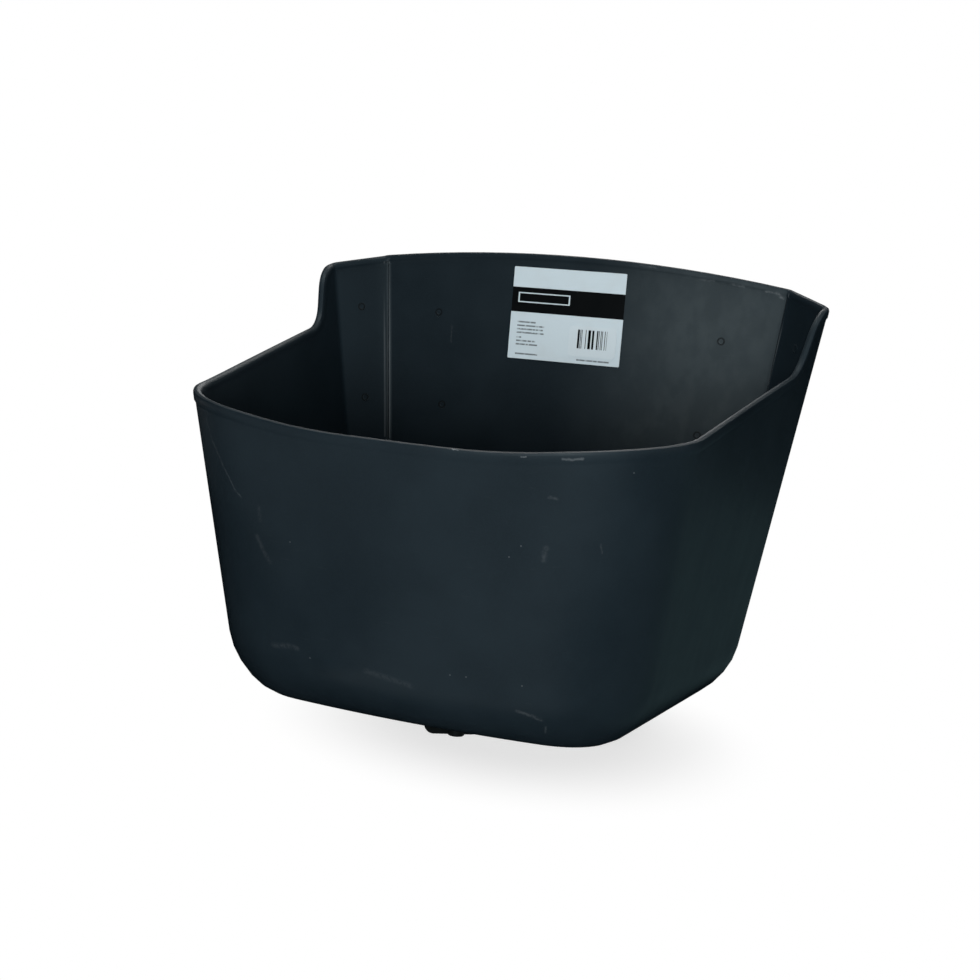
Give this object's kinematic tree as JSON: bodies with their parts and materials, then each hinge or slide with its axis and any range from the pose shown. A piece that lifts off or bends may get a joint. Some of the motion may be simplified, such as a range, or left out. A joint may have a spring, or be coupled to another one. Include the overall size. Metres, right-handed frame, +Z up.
{
  "type": "feed trough",
  "caption": "Moulded wall and corner feed trough with a high flat back, angled rear panels, a bowed front and a screwed drain plug.",
  "frame": {"origin": "centre of the bounding box's bottom face, level with the lowest point of the drain nut's hub", "axes": "+Z up, +Y towards the wall that the back hangs on, +X across the back; the front faces -Y"},
  "size_m": [0.39, 0.336, 0.3359],
  "materials": {
    "trough_plastic": "satin moulded polypropylene with fine scuffs",
    "drain_plastic": "smooth moulded plastic",
    "seal_rubber": "soft matte rubber",
    "label_paper": "coated label stock, semi gloss",
    "tag_paper": "coated label stock, semi gloss"
  },
  "bodies": {
    "root": {"trough_shell": "trough_plastic", "label": "label_paper", "label_tag": "tag_paper"},
    "plug": {"drain_plug": "drain_plastic", "plug_seal": "seal_rubber"},
    "nut": {"drain_nut": "drain_plastic"}
  },
  "joints": [
    {"name": "nut_turn", "type": "hinge", "parent": "root", "child": "nut", "pos_m": [0, -0.00927, 0.01], "axis": [0, 0, -1], "range_deg": [0, 1080]},
    {"name": "plug_lift", "type": "slide", "parent": "root", "child": "plug", "axis": [0, 0, 1], "range_m": [0, 0.012]}
  ],
  "couplings": [
    {"joint": "nut_turn", "follows": "plug_lift", "rad_per_m": 1570.8}
  ]
}
